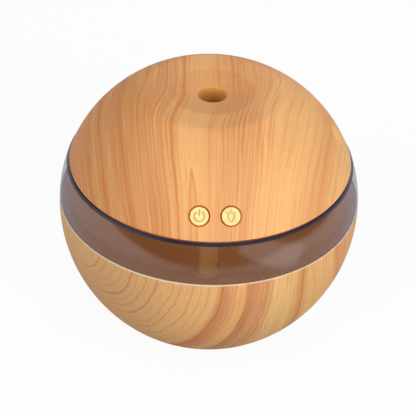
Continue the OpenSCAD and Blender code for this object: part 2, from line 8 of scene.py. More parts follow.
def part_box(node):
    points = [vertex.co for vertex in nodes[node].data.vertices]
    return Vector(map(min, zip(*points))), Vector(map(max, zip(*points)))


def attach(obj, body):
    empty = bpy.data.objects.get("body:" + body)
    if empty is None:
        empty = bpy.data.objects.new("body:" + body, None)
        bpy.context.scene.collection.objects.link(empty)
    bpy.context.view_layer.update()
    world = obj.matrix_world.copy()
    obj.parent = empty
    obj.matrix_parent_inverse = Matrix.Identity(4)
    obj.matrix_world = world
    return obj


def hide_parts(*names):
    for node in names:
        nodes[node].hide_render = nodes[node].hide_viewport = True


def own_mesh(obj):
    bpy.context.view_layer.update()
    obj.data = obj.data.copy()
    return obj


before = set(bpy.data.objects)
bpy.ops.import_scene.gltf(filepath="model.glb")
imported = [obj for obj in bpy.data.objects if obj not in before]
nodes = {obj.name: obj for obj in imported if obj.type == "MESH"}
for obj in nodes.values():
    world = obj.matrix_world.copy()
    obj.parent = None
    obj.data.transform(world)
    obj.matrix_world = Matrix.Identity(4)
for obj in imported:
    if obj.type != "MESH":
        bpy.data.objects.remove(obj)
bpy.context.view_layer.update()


# ---- The studio ----
# A pale table top under plain soft light, seen from the front and above.
# The camera looks at the middle of the body's widest ring.

MM = 0.001
scene = bpy.context.scene
widest_z = 56.5
widest = Vector((0, 0, widest_z)) * MM
swing_round, look_down, head_tilt = radians(-2.8), radians(36.5), radians(2.0)
camera_distance = 0.512
back_off = Vector((sin(swing_round) * cos(look_down), -cos(swing_round) * cos(look_down), sin(look_down)))
camera = bpy.data.objects.new("camera", bpy.data.cameras.new("camera"))
camera.data.lens = 102.5
camera.data.clip_start = 0.01
camera.data.shift_x = -0.00204
camera.data.shift_y = -0.02507
turn = back_off.to_track_quat("Z", "Y").to_matrix() @ Matrix.Rotation(head_tilt, 3, "Z")
camera.matrix_world = Matrix.Translation(widest + back_off * camera_distance) @ turn.to_4x4()
scene.collection.objects.link(camera)
scene.camera = camera
scene.view_settings.view_transform = "Standard"


def feed(tree, socket, value):
    """Links a Signal to a socket, or sets the socket's own value."""
    if isinstance(value, Signal):
        tree.links.new(value.socket, socket)
    elif socket.type == "RGBA" and len(value) == 3:
        socket.default_value = (*value, 1)
    else:
        socket.default_value = value


class Signal:
    """A socket of a material or of a shape's rule, which takes part in Python expressions."""

    def __init__(self, tree, socket):
        self.tree = tree
        self.socket = socket

    def node(self, kind, settings=None, inputs=None, out=0):
        """One more node: its type, its settings, what its sockets are given, and which output counts."""
        made = self.tree.nodes.new(kind if kind.startswith("Geometry") else "ShaderNode" + kind)
        settings = dict(settings or {})
        stops = settings.pop("stops", None)
        for name, value in settings.items():
            setattr(made, name, value)
        if stops:
            elements = made.color_ramp.elements
            elements.remove(elements[1])
            elements[0].position = stops[0][0]
            elements[0].color = (*stops[0][1], 1)
            for position, colour in stops[1:]:
                elements.new(position).color = (*colour, 1)
        for name, value in (inputs or {}).items():
            feed(self.tree, made.inputs[name], value)
        return Signal(self.tree, made.outputs[out])

    def beside(self, *names):
        """Outputs of the node that this socket is on."""
        return tuple(Signal(self.tree, self.socket.node.outputs[name]) for name in names)

    def parts(self):
        """X, Y and Z of a vector."""
        return self.node("SeparateXYZ", {}, {0: self}).beside("X", "Y", "Z")

    def math(self, operation, first, second=0.0):
        return self.node("Math", {"operation": operation}, {0: first, 1: second})

    def __add__(self, other):
        return self.math("ADD", self, other)

    __radd__ = __add__

    def __sub__(self, other):
        return self.math("SUBTRACT", self, other)

    def __rsub__(self, other):
        return self.math("SUBTRACT", other, self)

    def __mul__(self, other):
        return self.math("MULTIPLY", self, other)

    __rmul__ = __mul__

    def __truediv__(self, other):
        return self.math("DIVIDE", self, other)

    def __pow__(self, other):
        return self.math("POWER", self, other)

    def __abs__(self):
        return self.math("ABSOLUTE", self)

    def above(self, floor):
        return self.math("MAXIMUM", self, floor)

    def below(self, ceiling):
        return self.math("MINIMUM", self, ceiling)

    def rise(self, low, high):
        """0 below low and 1 above high, with a smooth step between."""
        return self.node("MapRange", {"interpolation_type": "SMOOTHSTEP"},
                         {"Value": self, "From Min": low, "From Max": high})

    def tint(self, low, high):
        """Goes from the colour low to the colour high as this value goes from 0 to 1."""
        return self.node("Mix", {"data_type": "RGBA"}, {0: self, 6: low, 7: high}, 2)


# What the floor shows to mirrors is a pale sheet: it ends in front, lacks its right front corner,
# and is dimmer in the middle.
table_paper = bpy.data.materials.new("table_top")
table_paper.use_nodes = True
wiring = table_paper.node_tree
paper = wiring.nodes["Principled BSDF"]
paper.inputs["Roughness"].default_value = 0.9
paper.inputs["Specular IOR Level"].default_value = 0.1
lit = Signal(wiring, paper.outputs[0])
x, y, _ = lit.node("TexCoord", {}, {}, "Object").parts()
front_edge = y.rise(-0.33, -0.28)
right_front = x.rise(0.36, 0.44) * y.rise(0.05, -0.05)
off_middle = abs(x).rise(0.02, 0.30)
sheet = front_edge * (1 - right_front) * (off_middle * 0.45 + 0.55)


def kinds_of_ray(signal):
    """1 for a ray straight from the camera, for one off a shiny face, and for one through something clear."""
    return signal.node("LightPath").beside("Is Camera Ray", "Is Glossy Ray", "Is Transmission Ray")


direct, mirrored, through = kinds_of_ray(lit)
seen = direct.above(mirrored * sheet).above(through)
floor_grey, floor_dark, clean_share = 0.38, 0.02, 0.92
paleness = floor_grey + direct * (1 - floor_grey) - mirrored * (floor_grey - floor_dark)
feed(wiring, paper.inputs["Base Color"], paleness.tint((0, 0, 0), (0.96, 0.96, 0.96)))
white = lit.node("Emission", {}, {"Color": (1, 1, 1, 1), "Strength": 1.0})
mixed = lit.node("MixShader", {}, {0: seen * clean_share, 1: lit, 2: white})
wiring.links.new(mixed.socket, wiring.nodes["Material Output"].inputs["Surface"])
half_table = 3
mesh = bpy.data.meshes.new("table_top")
mesh.from_pydata([(-half_table, -half_table, 0), (half_table, -half_table, 0),
                  (half_table, half_table, 0), (-half_table, half_table, 0)], [], [(0, 1, 2, 3)])
mesh.materials.append(table_paper)
table_top = bpy.data.objects.new("table_top", mesh)
scene.collection.objects.link(table_top)

world = bpy.data.worlds.new("studio")
scene.world = world
world.use_nodes = True
sky = world.node_tree
backdrop = sky.nodes["Background"]
backdrop.inputs["Color"].default_value = (1, 1, 1, 1)
glow = Signal(sky, backdrop.outputs[0])
direct, mirrored, through = kinds_of_ray(glow)
behind = glow.node("TexCoord", {}, {}, "Generated").parts()[1].rise(-0.35, 0.35)
room_light, room_dark = 0.36, 0.10
bright = direct.above(through).above(mirrored * behind)
feed(sky, backdrop.inputs["Strength"],
     room_light + bright * (1 - room_light) - mirrored * (1 - behind) * (room_light - room_dark))


def lamp(name, place, aim, size, power, roll=0.0):
    """A soft rectangular lamp that the camera doesn't see. Its sizes are metres, and its power is watts."""
    data = bpy.data.lights.new(name, "AREA")
    data.shape = "RECTANGLE"
    data.size, data.size_y = size
    data.energy = power
    made = bpy.data.objects.new(name, data)
    place = Vector(place)
    facing = (place - Vector(aim)).to_track_quat("Z", "Y").to_matrix().to_4x4()
    made.matrix_world = Matrix.Translation(place) @ facing @ Matrix.Rotation(roll, 4, "Z")
    made.visible_camera = False
    scene.collection.objects.link(made)


middle = (0, 0, 0.06)
shoulder = (0, 0, 0.08)
band_right = (0.013, -0.0702, 0.0783)
lamp("main_lamp", (0.58, -0.78, 0.56), middle, (0.7, 0.7), 8.0)
lamp("fill_lamp", (-0.7, -0.5, 0.5), middle, (0.6, 0.6), 4.3)
lamp("back_lamp", (0.3, 0.8, 0.7), shoulder, (0.5, 0.3), 1.5)
lamp("low_lamp", (0.1165, -0.1653, 0.0472), band_right, (0.16, 0.054), 0.018, radians(-30))


# ---- The bowl ----
# The round wooden-looking lower half: one plastic moulding with a printed pine film pressed onto it.
# It carries the tank on a ring inside, and stands on four rubber feet let into its foot.

widest_r = 63.98
seam_z = 61.4
foot = (34.8, 0.8)
wall = 2.2
floor_z = 3.0
crest = (29.1, 110.8)
lid_step = 0.4
tank_base_z = 9.0
carrier_r, carrier_wall = 32.6, 2.0
pad_seat_r, pad_seat_z, pad_circle_r = 5.05, 1.6, 25


def arc_centre(top_r, end_r, drop):
    """Where an arc has its centre, at the height of the widest ring, if it leaves that ring upright."""
    return (top_r ** 2 - end_r ** 2 - drop ** 2) / (2 * (top_r - end_r))


bowl_centre = arc_centre(widest_r, foot[0], widest_z - foot[1])
dome_centre = arc_centre(widest_r - lid_step, crest[0], crest[1] - widest_z)


def side_r(z, inset=0.0):
    """Radius of the body at a height, in millimetres, taken in by inset."""
    centre = dome_centre if z > widest_z else bowl_centre
    return centre + sqrt((widest_r - centre - inset) ** 2 - (z - widest_z) ** 2)


def side(low, high, inset=0.0, steps=40):
    """Points up the body's side between two heights, closer together where it turns."""
    def angle(z):
        centre = dome_centre if z > widest_z else bowl_centre
        return asin((z - widest_z) / (widest_r - centre - inset))

    first, last = angle(low), angle(high)
    points = []
    for i in range(steps + 1):
        a = first + (last - first) * i / steps
        centre = dome_centre if a > 0 else bowl_centre
        radius = widest_r - centre - inset
        points.append((centre + radius * cos(a), widest_z + radius * sin(a)))
    return points


def ease(points, corner, reach, steps=5):
    """The outline with one corner rounded off over reach on both sides."""
    at = min(range(len(points)),
             key=lambda i: hypot(points[i][0] - corner[0], points[i][1] - corner[1]))
    hub = Vector(points[at])

    def stop_at_reach(order):
        here = hub
        for i in order:
            there = Vector(points[i])
            if (there - hub).length > reach:
                run = there - here
                left = reach - (here - hub).length
                return i, here + run.normalized() * min(left, run.length)
            here = there
        return order[-1], here

    before, start = stop_at_reach(range(at - 1, -1, -1))
    after, stop = stop_at_reach(range(at + 1, len(points)))
    bend = []
    for k in range(steps + 1):
        t = k / steps
        bend.append(tuple(start * (1 - t) ** 2 + hub * 2 * t * (1 - t) + stop * t ** 2))
    return points[:before + 1] + bend + points[after:]


def piece_of(name, shape):
    """The object that a finished shape makes, with its faces turned outwards."""
    bmesh.ops.recalc_face_normals(shape, faces=shape.faces)
    mesh = bpy.data.meshes.new(name)
    shape.to_mesh(mesh)
    shape.free()
    made = bpy.data.objects.new(name, mesh)
    scene.collection.objects.link(made)
    return made


def lathe(name, outline, steps=224):
    """Turns an outline of (radius, height) in millimetres round the upright axis into a closed piece."""
    shape = bmesh.new()
    on_axis = 1e-6
    rings = []
    for r, z in outline:
        rings.append([shape.verts.new((r * MM * cos(tau * k / steps), r * MM * sin(tau * k / steps), z * MM))
                      for k in range(steps if r > on_axis else 1)])
    closed = outline[0][0] > on_axis
    pairs = zip(rings, rings[1:] + rings[:1]) if closed else zip(rings, rings[1:])
    for low, high in pairs:
        for k in range(steps):
            n = (k + 1) % steps
            ring = [low[k % len(low)], low[n % len(low)], high[n % len(high)], high[k % len(high)]]
            corners = list(dict.fromkeys(ring))
            if len(corners) > 2:
                shape.faces.new(corners)
    return piece_of(name, shape)


def settle(piece):
    """Makes what a piece's modifiers give its own plain mesh."""
    bpy.context.view_layer.update()
    result = bpy.data.meshes.new_from_object(piece.evaluated_get(bpy.context.evaluated_depsgraph_get()))
    piece.modifiers.clear()
    piece.data = result


def cut_away(piece, cutters):
    """Cuts the cutters out of piece and deletes them."""
    for cutter in cutters:
        step = piece.modifiers.new("cut", "BOOLEAN")
        step.object = cutter
        step.operation = "DIFFERENCE"
        step.solver = "EXACT"
    settle(piece)
    for cutter in cutters:
        bpy.data.objects.remove(cutter)


def dress(piece, material, body, stands_for):
    """Smooths a finished piece, gives it its material and hands it to the frame in place of a node."""
    piece.data.materials.clear()
    piece.data.materials.append(material)
    piece.data.shade_smooth()
    piece.data.set_sharp_from_angle(angle=radians(30))
    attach(piece, body)
    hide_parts(stands_for)


def tone(red, green, blue):
    """A colour given as it looks on a screen, 0 to 255, as the linear colour that a shader wants."""
    return tuple(((c / 255 + 0.055) / 1.055) ** 2.4 if c > 10 else c / 255 / 12.92
                 for c in (red, green, blue))


def finish(name, **values):
    """A new material, its shader, and the place on the piece as a Signal."""
    material = bpy.data.materials.new(name)
    material.use_nodes = True
    tree = material.node_tree
    shader = tree.nodes["Principled BSDF"]
    place = Signal(tree, tree.nodes.new("ShaderNodeTexCoord").outputs["Object"])
    for key, value in values.items():
        feed(tree, shader.inputs[key.replace("_", " ")], value)
    return material, shader, place


def bumpy(place, height, strength, distance):
    """The normals of a face with a fine relief."""
    return place.node("Bump", {}, {"Strength": strength, "Distance": distance, "Height": height}, "Normal")


def grain(shader, place, colour, across, along, busy, lacquer):
    """Adds a printed pine film's fibres and lacquer. Its places are across and along it, in millimetres."""
    tree = shader.id_data
    fibres = place.node("CombineXYZ", {}, {0: across * 1.2, 1: along * 0.022, 2: 3.0})
    streak = place.node("TexNoise", {}, {"Vector": fibres, "Scale": 1.0, "Detail": 2.0, "Roughness": 0.6})
    pores = place.node("CombineXYZ", {}, {0: across * 2.2, 1: along * 0.11, 2: 9.0})
    pore = place.node("TexNoise", {}, {"Vector": pores, "Scale": 1.0, "Detail": 2.0})
    cloud = place.node("TexNoise", {}, {"Vector": place, "Scale": 60.0, "Detail": 2.0})
    rings = place.math("SINE", across * 3.1 + streak * 6.0)
    colour = (streak.rise(0.55, 0.63) * busy * 0.40).tint(colour, tone(202, 118, 64))
    colour = (streak.rise(0.46, 0.34) * busy * 0.26).tint(colour, tone(246, 200, 130))
    late_wood = rings.rise(0.55, 1.0) * (streak.rise(0.35, 0.55) * 0.15 + 0.04) * busy
    colour = late_wood.tint(colour, tone(190, 106, 62))
    colour = (pore.rise(0.55, 0.72) * 0.20).tint(colour, tone(192, 108, 58))
    colour = (cloud.rise(0.4, 0.7) * 0.10).tint(colour, tone(205, 150, 96))
    colour = place.node("Mix", {"data_type": "RGBA", "blend_type": "MULTIPLY"},
                        {0: 1.0, 6: colour, 7: lacquer}, 2)
    feed(tree, shader.inputs["Base Color"], colour)
    feed(tree, shader.inputs["Roughness"], 0.48 + pore * 0.10)
    feed(tree, shader.inputs["Normal"], bumpy(place, pore + streak, 0.10, 0.2 * MM))


def line(across, at, width):
    """1 in the middle of a grain line and 0 past its edges."""
    return abs(across - at).rise(width, 0.0)


def lines(across, places):
    """Grain lines, each given by its place, half width and weight. Where two meet, the stronger one shows."""
    found = None
    for at, width, weight in places:
        mark = line(across, at, width) * weight
        found = mark if found is None else found.above(mark)
    return found


# The film is laid upright round the bowl. Its lines lean as they fall, and arch on the left.
pine_bowl, shader, place = finish("bowl_pine", IOR=1.47, Specular_IOR_Level=0.12)
x, y, z = place.parts()
from_front = place.math("ARCTAN2", x, y * -1.0) * (180 / pi)
height = z / MM
from_axis = (x * x + y * y) ** 0.5 / MM
lean_top, lean_reach = 60.0, 40.0
fall = ((lean_top - height) / lean_reach).above(0.0)
wave = (place.node("TexNoise", {}, {"Vector": place, "Scale": 46.0, "Detail": 2.0}) - 0.5) * 3.2
wobble = place.node("TexNoise", {}, {"Vector": place, "Scale": 210.0, "Detail": 3.0, "Roughness": 0.6}) - 0.5
left_out = (from_front * -1.0 - 22.0).above(0.0)
lean = 10.3 - from_front * 0.4 + left_out * left_out * 0.028
across = from_front + lean * fall ** 1.4 + wave + wobble * from_front.rise(10.0, -25.0) * 2.6
front = abs(from_front).rise(88.0, 70.0)
film_half = 75.0
share = (across + film_half) / (2 * film_half)
bands = share.node("ValToRGB", {"stops": [
    (0.00, tone(212, 168, 118)), (0.18, tone(212, 170, 118)), (0.26, tone(210, 164, 114)),
    (0.36, tone(214, 166, 114)), (0.44, tone(220, 172, 116)), (0.505, tone(226, 176, 118)),
    (0.522, tone(196, 130, 84)), (0.545, tone(212, 148, 102)), (0.557, tone(224, 170, 112)),
    (0.578, tone(226, 172, 112)), (0.588, tone(192, 126, 80)), (0.61, tone(212, 152, 106)),
    (0.632, tone(206, 144, 98)), (0.643, tone(228, 184, 124)), (0.70, tone(226, 180, 120)),
    (0.727, tone(206, 140, 88)), (0.745, tone(226, 176, 116)), (0.83, tone(228, 178, 116)),
    (0.86, tone(214, 148, 98)), (0.90, tone(224, 168, 112)), (1.00, tone(220, 166, 112))]},
    {0: share})
strip = place.node("CombineXYZ", {}, {0: across * 0.11, 1: height * 0.004, 2: 5.0})
wild = place.node("TexNoise", {}, {"Vector": strip, "Scale": 1.0, "Detail": 3.0, "Roughness": 0.6})
plain_side = wild.node("ValToRGB", {"stops": [
    (0.30, tone(232, 186, 124)), (0.45, tone(222, 172, 112)), (0.53, tone(206, 142, 92)),
    (0.58, tone(224, 174, 114)), (0.70, tone(208, 150, 100))]}, {0: wild})
colour = front.tint(plain_side, bands)
bowl_lines = [
    (-45, 1.3, 0.8), (-41.5, 0.9, 0.6), (-37.5, 0.8, 0.4), (-34, 0.8, 0.4), (-30, 1.6, 1.0),
    (-27, 0.8, 0.5), (-24, 1.2, 0.7), (-20, 1.3, 0.9), (-17.3, 0.7, 0.4), (-14.5, 0.8, 0.6),
    (-12, 1.0, 0.8), (-7.5, 0.9, 0.7), (-4.5, 0.7, 0.5), (-1.5, 0.9, 0.6), (3.4, 0.8, 0.9),
    (8.2, 0.6, 0.6), (12.6, 0.9, 1.0), (21.3, 0.8, 0.9), (34, 1.0, 0.9), (53, 1.2, 0.5)]
marks = lines(across, [(at, width * 0.55, weight * 0.6) for at, width, weight in bowl_lines])
colour = (marks * front).tint(colour, tone(176, 104, 60))
# Bare plastic shows inside the bowl. The outer edge of its rim is painted pale as a painted highlight, and
# the flat of the rim under the tank's band is painted dark as painted shade.
past_centre = (from_axis - bowl_centre).above(0.0)
arc_r = (past_centre * past_centre + (height - widest_z) ** 2.0) ** 0.5
outer_r = widest_r - bowl_centre
bare = arc_r.rise(outer_r - 1.0, outer_r - 1.4) * height.rise(seam_z - 0.1, seam_z - 0.4)
# Painted highlight: a pale line along the rim's outer edge.
rim_highlight = height.rise(seam_z - 0.6, seam_z - 0.35) * from_axis.rise(62.9, 63.2)
colour = (rim_highlight * 0.7).tint(colour, tone(242, 224, 178))
# Painted shade: the flat top of the rim, where the tank's band sits on it, is darkened.
colour = (height.rise(seam_z - 0.1, seam_z - 0.04) * (1 - rim_highlight)).tint(colour, tone(130, 92, 62))
colour = bare.tint(colour, tone(190, 136, 88))
busy = (1 - across.rise(6.0, -4.0) * front * 0.7) * (1 - bare)
grain(shader, place, colour, across * 1.1, height, busy, tone(255, 254, 253))

outline = ([(0, foot[1]), foot] + side(foot[1], seam_z)[1:] + side(floor_z, seam_z, wall)[::-1]
           + [(carrier_r, floor_z), (carrier_r, tank_base_z), (carrier_r - carrier_wall, tank_base_z),
              (carrier_r - carrier_wall, floor_z), (0, floor_z)])
outline = ease(outline, (side_r(seam_z), seam_z), 0.45)
outline = ease(outline, (side_r(seam_z, wall), seam_z), 0.3)
outline = ease(outline, foot, 1.2)
bowl = lathe("bowl", outline)
seats = []
for a in (pi / 4, 3 * pi / 4, 5 * pi / 4, 7 * pi / 4):
    seat = lathe("pad_seat", [(0, 0), (pad_seat_r, 0), (pad_seat_r, pad_seat_z), (0, pad_seat_z)], 48)
    seat.data.transform(Matrix.Translation(Vector((cos(a), sin(a), 0)) * pad_circle_r * MM))
    seats.append(seat)
cut_away(bowl, seats)
dress(bowl, pine_bowl, "base", "base_shell")


# ---- The tank ----
# One clear moulding in smoky plastic: a tank that drops into the bowl, and the band that shows round it.
# It is polished, and its cut edges look almost black because light runs through them lengthways.

band_top_z = 78.2
band_wall = 2.4
band_chamfer = 0.6
tank_inset = 2.5
tank_wall = 2.0
tank_floor_z = 11.0
shelf_z = seam_z + 2.0

smoked, shader, place = finish("smoked_clear", Roughness=0.13, IOR=2.25, Specular_IOR_Level=1.0)
tree = shader.id_data
x, y, z = (part / MM for part in place.parts())
past_centre = (x * x + y * y) ** 0.5 - dome_centre
depth = widest_r - dome_centre - (past_centre * past_centre + (z - widest_z) ** 2.0) ** 0.5
inside = depth.rise(1.2, 1.6).above(z.rise(seam_z - 0.2, seam_z - 0.4))
edge_on = place.node("LayerWeight", {}, {"Blend": 0.35}, "Facing")
# Painted highlight: a pale bluish-grey, nearly opaque line along the band's lower edge.
foot_highlight = z.rise(seam_z + 0.45, seam_z + 0.3) * z.rise(seam_z - 0.1, seam_z - 0.05) * (1 - inside)
# Painted reflection: the band's colour turns pale grey-violet where it is seen edge-on.
colour = edge_on.rise(0.25, 0.8).tint(tone(200, 121, 62), tone(150, 147, 174))
colour = foot_highlight.tint(colour, tone(150, 156, 172))
feed(tree, shader.inputs["Base Color"], colour)
smoke = (edge_on.rise(0.15, 0.9) * 0.25 + edge_on.rise(0.6, 0.95) * 0.25 + 0.30) * (1 - inside * 0.88)
feed(tree, shader.inputs["Alpha"], smoke.above(foot_highlight * 0.92))

top_r = side_r(band_top_z)
outline = ([(0, tank_base_z)] + side(tank_base_z, seam_z, tank_inset) + [(side_r(seam_z) - 0.15, seam_z)]
           + side(seam_z + 0.15, band_top_z - band_chamfer)
           + [(top_r - band_chamfer, band_top_z), (top_r - 1.25, band_top_z)]
           + side(shelf_z, band_top_z, band_wall)[::-1]
           + side(tank_floor_z, shelf_z, tank_inset + tank_wall)[::-1] + [(0, tank_floor_z)])
tank = lathe("tank", outline)
dress(tank, smoked, "base", "water_tank")
cut_edge, shader, place = finish("smoked_edge", Roughness=0.3, IOR=1.5)
streak = place.node("TexNoise", {}, {"Vector": place, "Scale": 45.0, "Detail": 1.0})
feed(shader.id_data, shader.inputs["Base Color"],
     streak.rise(0.35, 0.65).tint(tone(30, 30, 46), tone(44, 44, 62)))
tank.data.materials.append(cut_edge)
for polygon in tank.data.polygons:
    middle = polygon.center / MM
    if middle.z > band_top_z - 0.5 and hypot(middle.x, middle.y) > top_r - 1.2:
        polygon.material_index = 1


# ---- The feet ----
# Four round pads of dark rubber, glued into the recesses in the bowl's foot.
# They lift the bowl off the table and keep it from sliding.

rubber, shader, place = finish("foot_rubber", Roughness=0.85, Specular_IOR_Level=0.2)
speck = place.node("TexNoise", {}, {"Vector": place, "Scale": 900.0, "Detail": 2.0})
feed(shader.id_data, shader.inputs["Base Color"], speck.tint(tone(60, 58, 56), tone(96, 92, 88)))


def repaint(node, material):
    """Gives a frame piece its material."""
    piece = nodes[node]
    piece.data.materials.clear()
    piece.data.materials.append(material)


repaint("rubber_feet", rubber)


# ---- The lid ----
# A thin domed plastic moulding with the same pine film, dished round the hole that the mist leaves by.
# Its inside takes the screws, the chimney and the buttons' sleeves; the power lead plugs in at the back.

rim_z = 79.1
inner_top_z = 108.33
dish = (17.8, 110.4)
vent = (5.75, 108.6)
button_x = 6.05
hole_r = 3.9
hole_mouth_r = hole_r + 0.28
port_w, port_deep, port_h = 10.5, 30, 5.3
port_y, port_z = 55, 83.75
dome_r = widest_r - dome_centre - lid_step

# The buttons' axis is tilted so that the switches' board just clears the tray behind the rim.
board_depth, half_board, board_clear = 9.65, 3.5, 0.94
swing = dome_r - board_depth
tilt = atan2(half_board, swing) + asin((rim_z + board_clear - widest_z) / hypot(swing, half_board))
face = Vector((0, -(dome_centre + dome_r * cos(tilt)), widest_z + dome_r * sin(tilt)))


def from_button(place):
    """Height over the dome at the buttons, and the square of how far the nearer axis is, in millimetres."""
    x, y, z = (part / MM for part in place.parts())
    forward, upward, aside = y - face.y, z - face.z, abs(x) - button_x
    uphill = forward * sin(tilt) + upward * cos(tilt)
    return upward * sin(tilt) - forward * cos(tilt), aside * aside + uphill * uphill


# The film is laid flat over the dome from front to back, and stretches outside the crest.
pine_lid, shader, place = finish("lid_pine", IOR=1.47, Specular_IOR_Level=0.12)
x, y, _ = place.parts()
out = (x * x + y * y) ** 0.5
stretch = (out - crest[0] * MM).above(0.0) ** 1.5 * 45.4 + 1.0
film_x, film_y = x * stretch / MM, y * stretch / MM
wave = place.node("CombineXYZ", {}, {0: film_x * 0.035, 1: film_y * 0.035, 2: 1.0})
wave = place.node("TexNoise", {}, {"Vector": wave, "Scale": 1.0, "Detail": 1.0}) - 0.5
back_by = (film_y + film_x * film_x * -0.012 + 29.5) / 30.0
lean = back_by.rise(0.0, 1.0) * film_x.rise(-42.0, -18.0) * 5.6
lean = lean + film_y.rise(-48.0, 8.0) * film_x.rise(18.0, 42.0) * 6.0
across = film_x - lean + wave * 2.4
film_half = 76.0
share = (across + film_half) / (2 * film_half)
panels = share.node("ValToRGB", {"stops": [
    (0.000, tone(200, 148, 104)), (0.085, tone(202, 150, 106)), (0.12, tone(198, 142, 94)),
    (0.14, tone(208, 158, 112)), (0.165, tone(196, 134, 84)), (0.185, tone(208, 158, 110)),
    (0.245, tone(198, 140, 92)), (0.265, tone(210, 156, 104)), (0.33, tone(212, 156, 106)),
    (0.365, tone(222, 166, 114)), (0.395, tone(232, 180, 124)), (0.44, tone(234, 184, 126)),
    (0.485, tone(230, 175, 120)), (0.53, tone(223, 166, 115)), (0.60, tone(228, 172, 120)),
    (0.635, tone(238, 186, 128)), (0.74, tone(240, 192, 132)), (0.80, tone(232, 178, 122)),
    (0.84, tone(225, 168, 114)), (0.88, tone(238, 190, 134)), (0.95, tone(238, 190, 134)),
    (1.0, tone(234, 186, 130))]}, {0: share})
lid_lines = [
    (-58, 1.2, 0.5), (-51, 1.5, 0.8), (-48, 0.8, 0.4), (-44, 0.8, 0.35), (-38.5, 1.6, 0.5),
    (-34, 0.8, 0.4), (-31, 0.7, 0.45), (-27.5, 0.8, 0.5), (-24.3, 0.8, 0.7), (-21.3, 0.8, 0.8),
    (-17, 1.5, 1.25), (-15.2, 0.7, 0.4), (-2.4, 0.8, 0.55), (0.6, 0.7, 0.3), (3.5, 0.8, 0.55),
    (6.5, 0.7, 0.45), (9.5, 0.8, 0.55), (12.0, 0.7, 0.4), (14.6, 0.8, 0.5), (17.5, 1.2, 0.55),
    (22.5, 0.6, 0.3), (27.0, 0.7, 0.3), (31.0, 0.6, 0.3), (36.5, 0.8, 0.35), (41.5, 0.9, 0.4),
    (46.0, 1.6, 0.6), (50.5, 1.2, 0.45), (58.0, 1.0, 0.3)]
left_weight, right_weight = 0.5, 0.28
marks = lines(across, [(at, width, weight * (left_weight if at < 0 else right_weight))
                       for at, width, weight in lid_lines])
# A pointed figure stands over the left button.
spread = ((film_y * -1.0 - 45.0) * 0.13).above(0.0).below(1.45)
off = abs(film_x + 9.8)
spike = (off - spread).rise(0.1, -0.2) * film_y.rise(-44.0, -48.0)
sides = abs(off - spread).rise(0.7, 0.0) * film_y.rise(-44.0, -47.0)
colour = marks.tint(panels, tone(198, 110, 60))
colour = (spike * 0.35).tint(colour, tone(218, 140, 92))
colour = (sides * 0.55).tint(colour, tone(206, 122, 76))
# A painted highlight: a pale spot near the right edge, where a lamp's reflection falls.
highlight_x, highlight_y = (film_x - 60.0) * 0.22, (film_y + 3.0) * 0.14
highlight_spot = (highlight_x * highlight_x + highlight_y * highlight_y).rise(1.0, 0.2)
colour = (highlight_spot * 0.75).tint(colour, tone(255, 206, 122))
# Painted shade: the dish is tinted a darker orange.
dish_shade = out.rise((dish[0] + 0.7) * MM, (dish[0] - 1.3) * MM)
colour = (dish_shade * 0.3).tint(colour, tone(200, 130, 74))
up, away = from_button(place)
# Round each button hole the cut edge is bare plastic, painted a lighter orange as painted bounce light in the
# gap round the button.
edge = away.rise((hole_r + 0.4) ** 2, (hole_r + 0.25) ** 2) * up.rise(-6.0, -5.0)
colour = edge.tint(colour, tone(206, 126, 48))
throat = out.rise((vent[0] + 0.35) * MM, (vent[0] + 0.05) * MM)
colour = throat.tint(colour, tone(212, 154, 82))
calm = (1 - line(across, -7, 13) * 0.75) * (1 - across.rise(10.0, 30.0) * 0.3)
busy = calm * (1 - edge) * (1 - throat)
grain(shader, place, colour, across, film_y, busy, tone(255, 246, 235))

outer = side(rim_z, crest[1] - 0.001, lid_step)
inner = side(rim_z, inner_top_z, lid_step + wall)
outline = (outer[:-1] + [crest, dish, vent, (vent[0], vent[1] - wall), (dish[0], dish[1] - wall)]
           + inner[::-1])
outline = ease(outline, crest, 1.6, 8)
outline = ease(outline, dish, 1.5, 6)
outline = ease(outline, vent, 0.7, 6)
outline = ease(outline[-1:] + outline[:-1], outer[0], 0.35)
lid = lathe("lid", outline)


def on_dome(piece, x):
    """Stands a piece made at the origin on the dome at x, with its +Z along the buttons' axis."""
    piece.data.transform(Matrix.Rotation(pi / 2 - tilt, 4, "X"))
    piece.data.transform(Matrix.Translation((face + Vector((x, 0, 0))) * MM))
    return piece


cutters = []
for x in (-button_x, button_x):
    hole = lathe("button_hole", [(0, -8), (hole_r, -8), (hole_r, -0.6), (hole_mouth_r, -0.1),
                                 (hole_mouth_r, 6), (0, 6)], 72)
    cutters.append(on_dome(hole, x))
port = bmesh.new()
bmesh.ops.create_cube(port, size=1.0, matrix=Matrix.Diagonal((port_w * MM, port_deep * MM, port_h * MM, 1)))
bmesh.ops.translate(port, verts=port.verts, vec=Vector((0, port_y, port_z)) * MM)
cutters.append(piece_of("port", port))
cut_away(lid, cutters)
dress(lid, pine_lid, "lid", "lid_shell")


# ---- The chimney and the tray ----
# The chimney is a tube that leads the mist from the disc up to the hole in the dish.
# The tray closes the lid from below. It plugs the tank's mouth and holds the wick's tube by two lugs.
# Both are plain plastic mouldings, and the tray is screwed to the lid.


def moulded(name, colour, dark, roughness=0.45, texture=1400.0):
    """A plastic moulding with the fine spark texture that its tool left."""
    material, shader, place = finish(name, Roughness=roughness, IOR=1.46)
    spark = place.node("TexNoise", {}, {"Vector": place, "Scale": texture, "Detail": 2.0})
    broad = place.node("TexNoise", {}, {"Vector": place, "Scale": 70.0, "Detail": 1.0})
    tree = shader.id_data
    feed(tree, shader.inputs["Base Color"], (broad.rise(0.35, 0.65) * 0.5 + spark * 0.3).tint(dark, colour))
    feed(tree, shader.inputs["Normal"], bumpy(place, spark, 0.2, 0.05 * MM))
    return material


